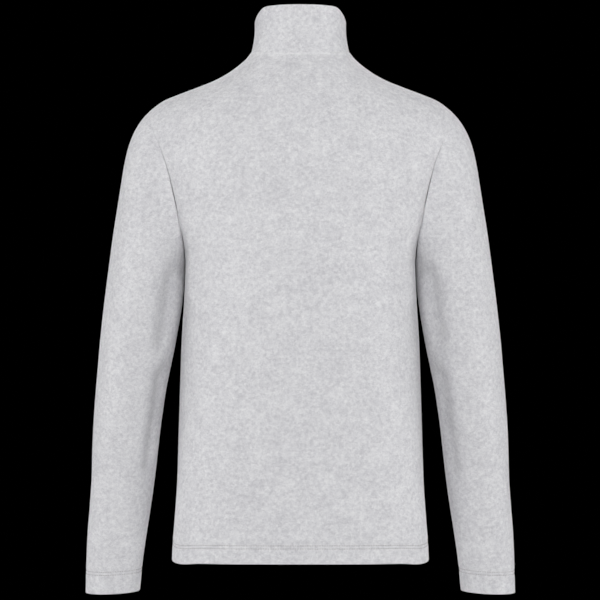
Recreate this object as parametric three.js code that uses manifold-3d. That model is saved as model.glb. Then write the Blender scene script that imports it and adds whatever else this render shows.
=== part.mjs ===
// Fleece zip jacket in its worn, hollow form. Millimetres, Z up, the front faces -Y.
// Zero is the middle of the neck, level with the ends of the shoulder seams at the neck.
import * as THREE from "three";
import Module from "manifold-3d";

const wasm = await Module();
wasm.setup();
const { Manifold } = wasm;

// Cloth and seams
const WALL = 2.0; // one layer of fleece
const TURNED = 3.8; // two layers, in the hem and the cuffs
const COLLAR_WALL = 3.6; // folded collar
const SEAM_GAP = 0.3; // space between a piece and what lies on it
const TRIM = 0.2; // each sewn edge stands back this far from the seam line
const TAPE_WALL = 0.8; // woven tape of the zip

// Main sizes
const HEM_Z = -680;
const HEM_FOLD = 23;
const UNDERARM = { x: 155, z: -285 };
const SHOULDER = { x: 205, z: -81 };
const ARMHOLE_BACK = 62; // how far the armhole reaches to the back of the arm
const ARMHOLE_FRONT = 58;
const NECK_HALF = 66;
const NECK_BACK_Y = 62;
const NECK_FRONT_Y = -78;
const NECK_BACK_Z = -11;
const NECK_FRONT_Z = -58;
const NECK_SIDE_Y = 3;
const RIM_HALF = 62;
const RIM_BACK_Y = 52;
const RIM_FRONT_Y = -66;
const OPENING = 4.5; // from the middle of the front to the edge of each front

// Steps of the cloth grids
const SIDE_STEPS = 14;
const ARMHOLE_STEPS = 12;
const SHOULDER_STEPS = 7;
const BACK_NECK_STEPS = 5;
const FRONT_NECK_STEPS = 6;
const COLLAR_STEPS = 5;

// Body by height: z, half width, depth to the back, depth to the front, squareness
const BODY = [
  [-680, 171.9, 121, 124, 4.4],
  [-656, 170.9, 121, 124.5, 4.1],
  [-618, 168.2, 121, 125, 3.6],
  [-580, 165.9, 121, 125.5, 3.25],
  [-504, 163.8, 121, 126, 2.9],
  [-447, 162.1, 121.5, 127.5, 2.8],
  [-390, 160.2, 123, 129, 2.7],
  [-340, 157.2, 125, 130, 2.6],
  [-310, 155.8, 126, 130, 2.57],
  [-285, 155, 127, 130, 2.55],
  [-235, 155, 127, 127, 2.5],
  [-183, 155, 124, 119, 2.4],
];

// Heights of the rows up the side seam, the third one at the top of the turned hem
const SIDE_ROWS = [
  -680, -668, -657, -654, -630, -600, -565, -530, -495, -460, -425, -390, -355, -320, -285,
];

// Armhole by height: z, half width at the back, half width at the front
const ARMHOLE = [
  [-285, 155, 155],
  [-270, 155.2, 153.8],
  [-250, 157.4, 153.6],
  [-226, 162, 155.4],
  [-183, 171.5, 161.5],
  [-146, 182, 173],
  [-113, 196, 190],
  [-97, 201.5, 199],
  [-81, 205, 205],
];

// Shoulder seam from the neck out to the sleeve: x, z
const SHOULDER_SEAM = [
  [66, 0],
  [76, -12],
  [95, -27],
  [115, -38.5],
  [138, -48],
  [162, -57],
  [186, -67],
  [205, -81],
];

// Rim of the collar by angle from the middle of the back: angle, z
const RIM = [
  [0, 58],
  [30, 57.5],
  [50, 56],
  [65, 49],
  [78, 42.5],
  [90, 38],
  [120, 27],
  [150, 16],
  [180, 10],
];

// Sleeve rings from the armhole down: outer x, outer z, inner x, inner z, mid y, half depth
const SLEEVE = [
  [205, -81, 155, -285, 2, 60],
  [216, -94, 155.7, -289, 2, 61],
  [225.5, -110, 156.1, -294, 2, 62],
  [233, -130, 156.5, -300, 2, 63],
  [238.5, -154, 157, -308, 2, 64],
  [243, -182, 157.6, -317, 2, 65],
  [248, -214, 158.5, -329, 2.5, 65.5],
  [253.3, -248, 160.2, -344, 3, 65.5],
  [258, -284, 162.6, -360, 4, 65],
  [262.7, -320, 166.2, -380, 4.5, 64],
  [267, -356, 170.4, -403, 5, 62.5],
  [270.8, -392, 175.7, -428, 5, 60.5],
  [274, -428, 181.4, -456, 4, 58],
  [277.4, -466, 186.2, -487, 2, 55.5],
  [280.3, -504, 190.4, -518, -1, 53],
  [282.4, -542, 194.2, -550, -5, 50],
  [283.8, -580, 198.4, -583, -10, 47],
  [286.8, -618, 203.4, -617, -15, 44],
  [290.4, -656, 209.1, -652, -20, 41],
  [292.2, -690, 214.6, -687, -24.5, 38.5],
  [292.7, -703, 215.9, -699.8, -26, 37.5],
  [292.8, -706, 216.1, -702.8, -26.3, 37.3],
  [293.7, -735.6, 219.2, -732.6, -29, 35.5],
];
const CUFF_RING = 21; // the first ring inside the turned cuff

// Upward lean of the cloth where it reaches the neck and the shoulder seam, by column
const LEAN_BACK = [0.8, 0.78, 0.74, 0.68, 0.58, 0.42, 0.22, 0.1, 0.04, 0, 0, 0, 0];
const LEAN_FRONT = [0.9, 0.9, 0.88, 0.84, 0.76, 0.62, 0.42, 0.22, 0.1, 0.04, 0, 0, 0, 0];

const point = (x, y, z) => new THREE.Vector3(x, y, z);
const mix = (a, b, t) => a + (b - a) * t;

// Smooth curve through a table whose first column only rises or only falls
function along(table, at) {
  const rising = table[0][0] < table[table.length - 1][0];
  const rows = rising ? table : [...table].reverse();
  let k = 0;
  while (k < rows.length - 2 && at > rows[k + 1][0]) k++;
  const [a, b] = [rows[k], rows[k + 1]];
  const before = rows[Math.max(k - 1, 0)];
  const after = rows[Math.min(k + 2, rows.length - 1)];
  const span = b[0] - a[0];
  const t = Math.min(Math.max((at - a[0]) / span, 0), 1);
  return a.map((_, c) => {
    const slopeA = ((b[c] - before[c]) / (b[0] - before[0])) * span;
    const slopeB = ((after[c] - a[c]) / (after[0] - a[0])) * span;
    const t2 = t * t;
    const t3 = t2 * t;
    return (
      a[c] * (2 * t3 - 3 * t2 + 1) +
      slopeA * (t3 - 2 * t2 + t) +
      b[c] * (3 * t2 - 2 * t3) +
      slopeB * (t3 - t2)
    );
  });
}

// Equal steps of arc length along a line of points
function evenly(line, steps) {
  const far = [0];
  for (let k = 1; k < line.length; k++) far.push(far[k - 1] + line[k].distanceTo(line[k - 1]));
  const total = far[far.length - 1];
  const result = [];
  let k = 0;
  for (let s = 0; s <= steps; s++) {
    const goal = (total * s) / steps;
    while (k < line.length - 2 && far[k + 1] < goal) k++;
    const t = Math.min((goal - far[k]) / (far[k + 1] - far[k]), 1);
    result.push(line[k].clone().lerp(line[k + 1], t));
  }
  return result;
}

// Neck seam by angle: 0 at the middle of the back, 90 at the shoulder seam, 180 at the zip
function neckSeam(angle) {
  const turn = (angle * Math.PI) / 180;
  const reach = angle <= 90 ? NECK_BACK_Y - NECK_SIDE_Y : NECK_SIDE_Y - NECK_FRONT_Y;
  const drop = angle <= 90 ? NECK_BACK_Z : NECK_FRONT_Z;
  const c = Math.cos(turn);
  return point(NECK_HALF * Math.sin(turn), NECK_SIDE_Y + reach * c, drop * c * c);
}

// Rim of the collar at the same angles
function rim(angle) {
  const turn = (angle * Math.PI) / 180;
  const middle = (RIM_BACK_Y + RIM_FRONT_Y) / 2;
  const reach = (RIM_BACK_Y - RIM_FRONT_Y) / 2;
  const c = Math.cos(turn);
  return point(
    RIM_HALF * Math.abs(Math.sin(turn)) ** 0.87,
    middle + reach * Math.sign(c) * Math.abs(c) ** 0.87,
    along(RIM, angle)[1],
  );
}

const neckAngles = (isBack) => {
  const last = 180 - (Math.asin(OPENING / NECK_HALF) * 180) / Math.PI;
  const steps = isBack ? BACK_NECK_STEPS : FRONT_NECK_STEPS;
  return Array.from({ length: steps + 1 }, (_, k) =>
    isBack ? (90 * k) / steps : last - ((last - 90) * k) / steps,
  );
};

// Armhole edge, k steps up from the underarm
function armholeEdge(isBack, k) {
  const turn = (Math.PI * k) / ARMHOLE_STEPS;
  const middle = (UNDERARM.z + SHOULDER.z) / 2;
  const z = middle - ((SHOULDER.z - UNDERARM.z) / 2) * Math.cos(turn);
  const x = along(ARMHOLE, z)[isBack ? 1 : 2];
  const y = isBack ? ARMHOLE_BACK * Math.sin(turn) : -ARMHOLE_FRONT * Math.sin(turn);
  return point(k === 0 ? UNDERARM.x : x, k === ARMHOLE_STEPS ? 0 : y, z);
}

// Half of the back, or one front: rows from the hem to the top, from the middle outward
function bodyPanel(isBack) {
  const neckSteps = isBack ? BACK_NECK_STEPS : FRONT_NECK_STEPS;
  const columns = neckSteps + SHOULDER_STEPS;
  const start = isBack ? 0 : OPENING;
  const way = isBack ? 1 : -1;
  const half = ARMHOLE_STEPS / 2;
  const rows = [];

  // From the hem to half way up the armhole each row is part of a rounded box
  for (let k = 0; k <= SIDE_STEPS + half; k++) {
    const above = k - SIDE_STEPS;
    const edge = above > 0 ? armholeEdge(isBack, above) : point(0, 0, SIDE_ROWS[k]);
    const [, width, back, front, square] = along(BODY, edge.z);
    const depth = isBack ? back : front;
    const end = above > 0 ? Math.asin(Math.abs(edge.y / depth) ** (square / 2)) : 0;
    const wide = above > 0 ? edge.x / Math.cos(end) ** (2 / square) : width;
    const middleZ = above > 0 ? mix(UNDERARM.z, -183, above / half) : edge.z;
    const line = [];
    for (let s = 0; s <= 160; s++) {
      const turn = mix(Math.PI / 2, end, s / 160);
      const x = s === 0 ? 0 : wide * Math.max(Math.cos(turn), 0) ** (2 / square);
      const z = mix(middleZ, edge.z, (s / 160) ** 2);
      const here = along(BODY, z);
      const y = way * here[isBack ? 2 : 3] * Math.max(Math.sin(turn), 0) ** (2 / square);
      line.push(point(x, y, z));
    }
    const first = line.findIndex((p) => p.x > start);
    if (!isBack) {
      const [p, q] = [line[first - 1], line[first]];
      line.splice(0, first, p.clone().lerp(q, (start - p.x) / (q.x - p.x)));
    }
    const row = evenly(line, columns);
    if (above > 0) row[columns].copy(edge);
    rows.push(row);
  }

  // The top line: half the neck, then the shoulder seam
  const top = neckAngles(isBack).map(neckSeam);
  if (!isBack) top[0].x = OPENING;
  for (const [x, z] of SHOULDER_SEAM.slice(1)) {
    top.push(point(x, NECK_SIDE_Y * ((SHOULDER.x - x) / (SHOULDER.x - NECK_HALF)), z));
  }

  // From there each column bends over to the top line
  const last = rows[rows.length - 1];
  const under = rows[rows.length - 2];
  const lean = isBack ? LEAN_BACK : LEAN_FRONT;
  const columnAt = (c, t) => {
    const chord = last[c].distanceTo(top[c]);
    const out = c / columns;
    const rise = last[c].clone().sub(under[c]).normalize();
    rise.multiplyScalar(chord * mix(1.0, 1.25, out));
    const over = point(0, -way * Math.sqrt(1 - lean[c] ** 2), lean[c]);
    over.multiplyScalar(chord * mix(1.0, 1.05, out));
    const t2 = t * t;
    const t3 = t2 * t;
    return last[c]
      .clone()
      .multiplyScalar(2 * t3 - 3 * t2 + 1)
      .addScaledVector(rise, t3 - 2 * t2 + t)
      .addScaledVector(top[c], 3 * t2 - 2 * t3)
      .addScaledVector(over, t3 - t2);
  };
  for (let k = 1; k <= half; k++) {
    const t = k / half;
    const edge = armholeEdge(isBack, half + k);
    const miss = edge.clone().sub(columnAt(columns, t));
    const row = [];
    for (let c = 0; c <= columns; c++) {
      const p = k === half ? top[c].clone() : columnAt(c, t);
      if (k < half) p.addScaledVector(miss, (c / columns) ** 4);
      if (!isBack && c === 0) p.x = OPENING;
      if (isBack && c === 0) p.x = 0;
      row.push(p);
    }
    rows.push(row);
  }
  return rows;
}

const mirrored = (rows) => rows.map((row) => row.map((p) => point(-p.x, p.y, p.z)));

const backHalf = bodyPanel(true);
const frontLeft = bodyPanel(false);
const backRows = backHalf.map((row) => [
  ...row
    .slice(1)
    .reverse()
    .map((p) => point(-p.x, p.y, p.z)),
  ...row,
]);

// Collar: from the zip around the back to the zip, seam row first
const collarAngles = [
  ...neckAngles(true),
  ...neckAngles(false).reverse().slice(1),
];
const collarHalf = [];
for (let k = 0; k <= COLLAR_STEPS; k++) {
  const t = k / COLLAR_STEPS;
  collarHalf.push(
    collarAngles.map((angle, c) => {
      const low = neckSeam(angle);
      const high = rim(angle);
      if (c === collarAngles.length - 1) {
        low.x = OPENING;
        high.x = OPENING;
      }
      const bend = 3 * Math.sin((angle * Math.PI) / 180) * 2 * t * (1 - t);
      const p = low.clone().lerp(high, t);
      const out = point(p.x, p.y + 7, 0).normalize();
      return p.addScaledVector(out, -bend);
    }),
  );
}
const collarRows = collarHalf.map((row) => [
  ...row
    .slice(1)
    .reverse()
    .map((p) => point(-p.x, p.y, p.z)),
  ...row,
]);

// Left sleeve: the first ring is the armhole, the others are ovals down to the cuff
function sleeveRows() {
  const columns = backHalf[0].length - 1;
  const fronts = frontLeft[0].length - 1;
  const loop = [];
  for (let k = ARMHOLE_STEPS; k >= 0; k--) loop.push(backHalf[SIDE_STEPS + k][columns].clone());
  for (let k = 1; k < ARMHOLE_STEPS; k++) loop.push(frontLeft[SIDE_STEPS + k][fronts].clone());
  const oval = ([ox, oz, ix, iz, y, deep], turn) =>
    point(
      (ox + ix) / 2 + ((ox - ix) / 2) * Math.cos(turn),
      y + deep * Math.sin(turn),
      (oz + iz) / 2 + ((oz - iz) / 2) * Math.cos(turn),
    );
  const first = SLEEVE[0];
  const axis = point(first[0] - first[2], 0, first[1] - first[3]).multiplyScalar(0.5);
  const centre = point((first[0] + first[2]) / 2, first[4], (first[1] + first[3]) / 2);
  const turns = loop.map((p, j) => {
    if (j === 0) return 0;
    if (j === ARMHOLE_STEPS) return Math.PI;
    const d = p.clone().sub(centre);
    const angle = Math.atan2(d.y / first[5], d.dot(axis) / axis.lengthSq());
    return angle < 0 ? angle + 2 * Math.PI : angle;
  });
  const rest = loop.map((p, j) => p.clone().sub(oval(first, turns[j])));
  return SLEEVE.map((ring, r) => {
    const keep = Math.max(0, 1 - r / 6) ** 2;
    const even = Math.min(1, r / 8);
    return loop.map((p, j) => {
      if (r === 0) return p.clone();
      const turn = mix(turns[j], (2 * Math.PI * j) / loop.length, even);
      return oval(ring, turn).addScaledVector(rest[j], keep);
    });
  });
}

// Every cloth grid, with what it is sewn to along its four sides
const sleeveLeft = sleeveRows();
const hemWall = (r) => (SIDE_ROWS[r] <= HEM_Z + HEM_FOLD ? TURNED : WALL);
const cuffWall = (r) => (r >= CUFF_RING ? TURNED : WALL);
const grids = [
  { name: "back", group: "body", rows: backRows, wall: hemWall, sewn: ["top", "left", "right"] },
  { name: "front_left", group: "body", rows: frontLeft, wall: hemWall, sewn: ["top", "right"] },
  {
    name: "front_right",
    group: "body",
    rows: mirrored(frontLeft),
    wall: hemWall,
    sewn: ["top", "right"],
  },
  { name: "collar", group: "collar", rows: collarRows, wall: () => COLLAR_WALL, sewn: ["bottom"] },
  {
    name: "sleeve_left",
    group: "sleeve",
    rows: sleeveLeft,
    wall: cuffWall,
    tube: true,
    sewn: ["bottom"],
  },
  {
    name: "sleeve_right",
    group: "sleeve",
    rows: mirrored(sleeveLeft),
    wall: cuffWall,
    tube: true,
    sewn: ["bottom"],
  },
];

// Outward direction at each point of a grid
function outward(grid) {
  const { rows, tube } = grid;
  const [high, wide] = [rows.length, rows[0].length];
  const sums = rows.map((row) => row.map(() => point(0, 0, 0)));
  for (let r = 0; r < high - 1; r++) {
    for (let c = 0; c < (tube ? wide : wide - 1); c++) {
      const d = (c + 1) % wide;
      const a = rows[r + 1][d].clone().sub(rows[r][c]);
      const b = rows[r + 1][c].clone().sub(rows[r][d]);
      const n = a.cross(b).normalize();
      for (const [i, j] of [
        [r, c],
        [r, d],
        [r + 1, c],
        [r + 1, d],
      ])
        sums[i][j].add(n);
    }
  }
  const r = Math.floor(high / 2);
  const c = Math.floor(wide / 4);
  const middle = point(0, 0, rows[r][c].z);
  if (tube) middle.copy(rows[r][0]).lerp(rows[r][wide / 2], 0.5);
  const away = rows[r][c].clone().sub(middle);
  grid.turned = away.dot(sums[r][c]) < 0;
  for (const row of sums) for (const n of row) n.multiplyScalar(grid.turned ? -1 : 1).normalize();
  return sums;
}

const key = (p) => [p.x, p.y, p.z].map((v) => Math.round(v * 1000)).join();
const seams = new Map();
for (const grid of grids) {
  grid.out = outward(grid);
  grid.rows.forEach((row, r) =>
    row.forEach((p, c) => {
      const k = key(p);
      if (!seams.has(k)) seams.set(k, {});
      const groups = seams.get(k);
      groups[grid.group] ??= point(0, 0, 0);
      groups[grid.group].add(grid.out[r][c]);
    }),
  );
}

// Outward direction shared by the pieces that meet in a seam, and how far it is shared
for (const grid of grids) {
  grid.shared = grid.rows.map((row) =>
    row.map((p) => {
      const groups = seams.get(key(p));
      const own = groups[grid.group].clone().normalize();
      if (Math.abs(Math.abs(p.x) - OPENING) < 1e-6) own.setX(0).normalize();
      const others = Object.keys(groups).filter((g) => g !== grid.group);
      if (others.length === 0) return { own, dir: own, share: 1 };
      const other = point(0, 0, 0);
      for (const g of others) other.add(groups[g].clone().normalize());
      if (own.x === 0) other.setX(0);
      other.normalize();
      const share = THREE.MathUtils.smoothstep(own.dot(other), -0.4, 0.4);
      const dir = own.clone().multiplyScalar(1 - share);
      dir.addScaledVector(own.clone().add(other).normalize(), share).normalize();
      return { own, dir, share };
    }),
  );
}

// Trimmed outer points and inner points of a grid
function faces(grid) {
  const { rows, shared, tube, wall, sewn } = grid;
  const [high, wide] = [rows.length, rows[0].length];
  const outer = rows.map((row) => row.map((p) => p.clone()));
  const trim = (r, c, i, j) => {
    const inward = rows[i][j].clone().sub(rows[r][c]).normalize();
    outer[r][c].addScaledVector(inward, TRIM);
  };
  for (let r = 0; r < high; r++) {
    if (!tube && sewn.includes("left")) trim(r, 0, r, 1);
    if (!tube && sewn.includes("right")) trim(r, wide - 1, r, wide - 2);
  }
  for (let c = 0; c < wide; c++) {
    if (sewn.includes("bottom")) trim(0, c, 1, c);
    if (sewn.includes("top")) trim(high - 1, c, high - 2, c);
  }
  const inner = outer.map((row, r) =>
    row.map((p, c) => {
      const { own, dir, share } = shared[r][c];
      p.addScaledVector(own, -SEAM_GAP * (1 - share));
      const deep = wall(r) / Math.max(0.7, own.dot(dir));
      return p.clone().addScaledVector(dir, -deep);
    }),
  );
  return { outer, inner };
}

// One closed body from an outer and an inner sheet of points
function shell(outer, inner, tube, turned) {
  const [high, wide] = [outer.length, outer[0].length];
  const spots = [...outer.flat(), ...inner.flat()];
  const at = (layer, r, c) => layer * high * wide + r * wide + (c % wide);
  const index = [];
  const quad = (a, b, c, d) => {
    if (turned) index.push(a, c, b, a, d, c);
    else index.push(a, b, c, a, c, d);
  };
  const across = tube ? wide : wide - 1;
  for (let r = 0; r < high - 1; r++) {
    for (let c = 0; c < across; c++) {
      quad(at(0, r, c), at(0, r, c + 1), at(0, r + 1, c + 1), at(0, r + 1, c));
      quad(at(1, r, c), at(1, r + 1, c), at(1, r + 1, c + 1), at(1, r, c + 1));
    }
  }
  for (let c = 0; c < across; c++) {
    const top = high - 1;
    quad(at(0, 0, c), at(1, 0, c), at(1, 0, c + 1), at(0, 0, c + 1));
    quad(at(0, top, c), at(0, top, c + 1), at(1, top, c + 1), at(1, top, c));
  }
  if (!tube) {
    for (let r = 0; r < high - 1; r++) {
      const end = wide - 1;
      quad(at(0, r, 0), at(0, r + 1, 0), at(1, r + 1, 0), at(1, r, 0));
      quad(at(0, r, end), at(1, r, end), at(1, r + 1, end), at(0, r + 1, end));
    }
  }
  const geometry = new THREE.BufferGeometry();
  geometry.setAttribute(
    "position",
    new THREE.Float32BufferAttribute(
      spots.flatMap((p) => [p.x, p.y, p.z]),
      3,
    ),
  );
  geometry.setIndex(index);
  return geometry;
}

const jacket = new THREE.Group();
function add(name, geometry, colour, roughness, metalness = 0) {
  geometry.computeVertexNormals();
  const material = new THREE.MeshStandardMaterial({ color: colour, roughness, metalness });
  const mesh = new THREE.Mesh(geometry, material);
  mesh.name = name;
  jacket.add(mesh);
}

for (const grid of grids) {
  const { outer, inner } = faces(grid);
  add(grid.name, shell(outer, inner, grid.tube, grid.turned), "#cdcdcf", 0.95);
}

// Line of the zip: points and outward directions of the left edge, hem to rim
const front = grids.find((g) => g.name === "front_left");
const collar = grids.find((g) => g.name === "collar");
const collarEnd = collarRows[0].length - 1;

// Point and direction of a grid row where it crosses a given x
function crossing(rows, shared, r, x, from, step) {
  let c = from;
  const inside = (k) => k + step >= 0 && k + step < rows[r].length;
  while (inside(c + step) && rows[r][c + step].x < x) c += step;
  const [a, b] = [rows[r][c], rows[r][c + step]];
  const t = Math.max(0, (x - a.x) / (b.x - a.x));
  const p = a.clone().lerp(b, t);
  const n = shared[r][c].dir.clone().lerp(shared[r][c + step].dir, t).normalize();
  return { p: point(x, p.y, p.z), n };
}

// Rows of the zip up the front and the collar: how deep the tape lies at each
const zipLine = [];
for (let r = 0; r < front.rows.length - 1; r++) {
  zipLine.push({ grid: front, r, from: 0, step: 1, wall: hemWall(r) });
}
for (let r = 0; r <= COLLAR_STEPS; r++) {
  zipLine.push({ grid: collar, r, from: collarEnd, step: -1, wall: COLLAR_WALL });
}
const zipAt = (k, x) => {
  const low = Math.min(Math.floor(k), zipLine.length - 1);
  const high = Math.min(low + 1, zipLine.length - 1);
  const [a, b] = [zipLine[low], zipLine[high]].map(({ grid, r, from, step, wall }) => ({
    ...crossing(grid.rows, grid.shared, r, Math.max(x, OPENING), from, step),
    wall,
  }));
  const t = k - low;
  const n = a.n.lerp(b.n, t);
  n.x = x <= OPENING ? 0 : n.x;
  n.normalize();
  const p = a.p.lerp(b.p, t);
  return { p: point(x, p.y, p.z), n, wall: mix(a.wall, b.wall, t) };
};

// A strip of the zip between two lines of x, its face a given depth under the cloth
function strip(stations, lines, face, thick) {
  const outer = [];
  const inner = [];
  for (const k of stations) {
    const spots = lines(k).map((x) => {
      const { p, n, wall } = zipAt(k, x);
      const depth = wall + face;
      return [p.clone().addScaledVector(n, -depth), p.clone().addScaledVector(n, -depth - thick)];
    });
    outer.push(spots.map((s) => s[0]));
    inner.push(spots.map((s) => s[1]));
  }
  return [outer, inner];
}

const RIM_ROW = zipLine.length - 1;
const SEAM_ROW = RIM_ROW - COLLAR_STEPS;
const SLIDER_AT = SEAM_ROW + COLLAR_STEPS * 0.8; // the slider's middle, four fifths up the collar
const collarLine = zipAt(RIM_ROW, 0).p.sub(zipAt(SEAM_ROW, 0).p);
const perRow = collarLine.length() / COLLAR_STEPS; // millimetres from row to row on the collar
const APART = SLIDER_AT + 2.2 / perRow; // above this the two tapes are held apart
const TEETH_END = SLIDER_AT + 1.4 / perRow;
const TAPE_END = RIM_ROW - 2.5 / perRow;
const stations = (from, to, extra) =>
  [...Array(RIM_ROW + 1).keys(), from, to, ...extra]
    .filter((k) => k >= from && k <= to)
    .sort((a, b) => a - b)
    .filter((k, i, all) => i === 0 || k - all[i - 1] > 0.01);

const TAPE_WIDE = 14;
const TEETH_HALF = 3.0;
const TEETH_THICK = 1.8;
const zip = [
  {
    name: "zip_tape",
    lines: (k) => [k > APART - 0.005 ? 1.7 : 0.15, OPENING, 9.2, TAPE_WIDE],
    stations: stations(0.35, TAPE_END, [APART - 0.03, APART]),
    face: SEAM_GAP,
    thick: TAPE_WALL,
    look: ["#b4b4b8", 0.85],
  },
  {
    name: "zip_teeth",
    lines: () => [0.15, TEETH_HALF],
    stations: stations(1.05, TEETH_END, []),
    face: -TEETH_THICK,
    thick: TEETH_THICK,
    look: ["#a9a9ad", 0.6],
  },
];
for (const { name, lines, stations: ks, face, thick, look } of zip) {
  const [outer, inner] = strip(ks, lines, face, thick);
  add(name + "_left", shell(outer, inner, false, front.turned), ...look);
  const flipped = [mirrored(outer), mirrored(inner)];
  add(name + "_right", shell(...flipped, false, !front.turned), ...look);
}

// Small hard pieces of the zip, drawn flat: x across, y up the zip, z out of the cloth
const geometryOf = (solid) => {
  const mesh = solid.getMesh();
  const geometry = new THREE.BufferGeometry();
  const spots = [];
  for (let v = 0; v < mesh.numVert; v++) {
    spots.push(...mesh.vertProperties.slice(v * mesh.numProp, v * mesh.numProp + 3));
  }
  geometry.setAttribute("position", new THREE.Float32BufferAttribute(spots, 3));
  geometry.setIndex([...mesh.triVerts]);
  return geometry;
};
const block = (x0, x1, y0, y1, z0, z1) =>
  Manifold.cube([x1 - x0, y1 - y0, z1 - z0]).translate([x0, y0, z0]);
const bar = (radius, length) =>
  Manifold.cylinder(length, radius, radius, 20, true).rotate([0, 90, 0]);
const post = (x, y, z0, z1, radius) =>
  Manifold.cylinder(z1 - z0, radius, radius, 24).translate([x, y, z0]);

// Places a flat-drawn piece on the zip at row k
function onZip(geometry, k) {
  const { p, n } = zipAt(k, 0);
  const up = point(0, n.z, -n.y);
  const matrix = new THREE.Matrix4().makeBasis(point(1, 0, 0), up, n).setPosition(p);
  return geometry.applyMatrix4(matrix);
}

// Slider: a plate in front of the teeth and one behind the tapes, joined by a post, with a bridge
const PLATE = { half: 4.1, low: -5.5, high: 5.5, face: 0, under: -1.45 };
const PIN_OUT = 1.1; // centre of the tab's bar in front of the plate
const BRIDGE = { half: 1.0, low: -4.3, high: 4.1, inside: 2.3, outside: 3.5, leg: 1.1 };
const behind = -(COLLAR_WALL + SEAM_GAP + TAPE_WALL + SEAM_GAP);
const frontPlate = Manifold.hull([
  block(-PLATE.half, PLATE.half, -2.5, 3.2, PLATE.under, PLATE.face),
  block(-3.2, 3.2, PLATE.low, PLATE.high, PLATE.under, PLATE.face),
]);
const backPlate = Manifold.hull([
  block(-PLATE.half, PLATE.half, -2.5, 3.2, behind - 1.3, behind),
  block(-3.2, 3.2, PLATE.low, PLATE.high, behind - 1.3, behind),
]);
const slider = frontPlate
  .add(backPlate)
  .add(block(-1.2, 1.2, 2.6, 5.2, behind - 0.5, PLATE.under + 0.5))
  .add(block(-BRIDGE.half, BRIDGE.half, BRIDGE.low, BRIDGE.low + BRIDGE.leg, -0.5, BRIDGE.outside))
  .add(block(-BRIDGE.half, BRIDGE.half, BRIDGE.high - BRIDGE.leg, BRIDGE.high, -0.5, BRIDGE.outside))
  .add(block(-BRIDGE.half, BRIDGE.half, BRIDGE.low, BRIDGE.high, BRIDGE.inside, BRIDGE.outside));
add("zip_slider", onZip(geometryOf(slider), SLIDER_AT), "#9c9ea3", 0.35, 0.9);

// Pull tab: a round bar under the bridge, two rails beside it and a plate below
const TAB = { half: 3.4, thick: 1.4, length: 28, hole: 1.7, rails: 6.4 };
const pull = bar(TAB.thick / 2, TAB.half * 2)
  .add(
    Manifold.hull([
      block(-TAB.half, TAB.half, -TAB.length + 3.4, -0.01, -TAB.thick / 2, TAB.thick / 2),
      post(0, -TAB.length + TAB.half, -TAB.thick / 2, TAB.thick / 2, TAB.half),
    ]).subtract(block(-TAB.hole, TAB.hole, -TAB.rails, 1, -2, 2)),
  )
  .add(bar(TAB.thick / 2, TAB.half * 2))
  .translate([0, 0, PIN_OUT]);
add("zip_pull", onZip(geometryOf(pull), SLIDER_AT), "#9c9ea3", 0.35, 0.9);

// Stops above the slider, one on each tape, and the box that holds the lower ends
const stop = block(1.9, 4.1, 6.4, 8.6, -COLLAR_WALL, -1.9);
add("zip_stop_left", onZip(geometryOf(stop), SLIDER_AT), "#9c9ea3", 0.4, 0.9);
add("zip_stop_right", onZip(geometryOf(stop.mirror([1, 0, 0])), SLIDER_AT), "#9c9ea3", 0.4, 0.9);
const box = block(-4.1, 4.1, -3.6, 4.2, -TURNED, -1.2);
add("zip_box", onZip(geometryOf(box), 0.62), "#9c9ea3", 0.45, 0.6);

export default jacket;
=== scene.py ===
# Fleece zip jacket, hollow and filled out as it is when worn. Metres, Z up, the front faces
# -Y. The sizes below are the cut's own, in millimetres, and MM turns them to metres.
import math

import bmesh
import bpy
from mathutils import Matrix, Vector


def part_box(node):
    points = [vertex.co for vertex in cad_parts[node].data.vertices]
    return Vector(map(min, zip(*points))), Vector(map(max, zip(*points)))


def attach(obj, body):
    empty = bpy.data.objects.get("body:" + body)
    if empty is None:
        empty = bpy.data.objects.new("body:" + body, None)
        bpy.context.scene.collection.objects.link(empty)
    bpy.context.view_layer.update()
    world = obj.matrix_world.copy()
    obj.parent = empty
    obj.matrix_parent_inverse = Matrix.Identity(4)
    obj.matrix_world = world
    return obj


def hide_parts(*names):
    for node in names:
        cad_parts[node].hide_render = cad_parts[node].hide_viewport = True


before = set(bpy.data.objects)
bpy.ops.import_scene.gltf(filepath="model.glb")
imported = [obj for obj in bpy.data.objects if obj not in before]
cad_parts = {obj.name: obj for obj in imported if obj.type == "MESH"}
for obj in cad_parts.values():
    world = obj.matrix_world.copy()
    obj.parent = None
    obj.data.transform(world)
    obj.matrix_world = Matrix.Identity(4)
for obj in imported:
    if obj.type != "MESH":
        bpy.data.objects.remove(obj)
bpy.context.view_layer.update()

# The back: one piece of microfleece from the hem to the neck, cut out at the armholes.
# A soft brushed knit 2 mm thick, light grey melange, sewn to the fronts, sleeves and collar.
MM = 0.001
SIDES = (("left", 1), ("right", -1))  # name, sign of x
UNDERARM = (155, -285)
SHOULDER = (205, -81)
ARMHOLE_BACK, ARMHOLE_FRONT = 62, 58
NECK_HALF, NECK_BACK_Y, NECK_SIDE_Y, NECK_FRONT_Y = 66, 62, 3, -78
NECK_BACK_Z, NECK_FRONT_Z = -11, -58
OPENING = 4.5  # from the middle of the front to the edge of each front
ZIP_ANGLE = 180 - math.degrees(math.asin(OPENING / NECK_HALF))  # of that edge in the neck seam
FLEECE, TURNED = 2.0, 3.8  # one layer, and the two layers of a turned hem
HEM_STITCHES = (-656, -660)
HEM_TOP = -657  # the turned hem is two layers thick below this
SEAM_TUCK = 0.3  # how far a sewn edge runs on into its seam
SHALLOW_SEAM = 0.15  # how deep that edge lies in at the back neck, where 1 is the deepest
NEAR_SEAM = (4.6, 2.3, 1.0)  # the last columns of a panel, from its seam
STITCH_SINK, STITCH_REACH = 0.8, 1.4  # how deep thread draws the cloth in, and how far off
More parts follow.
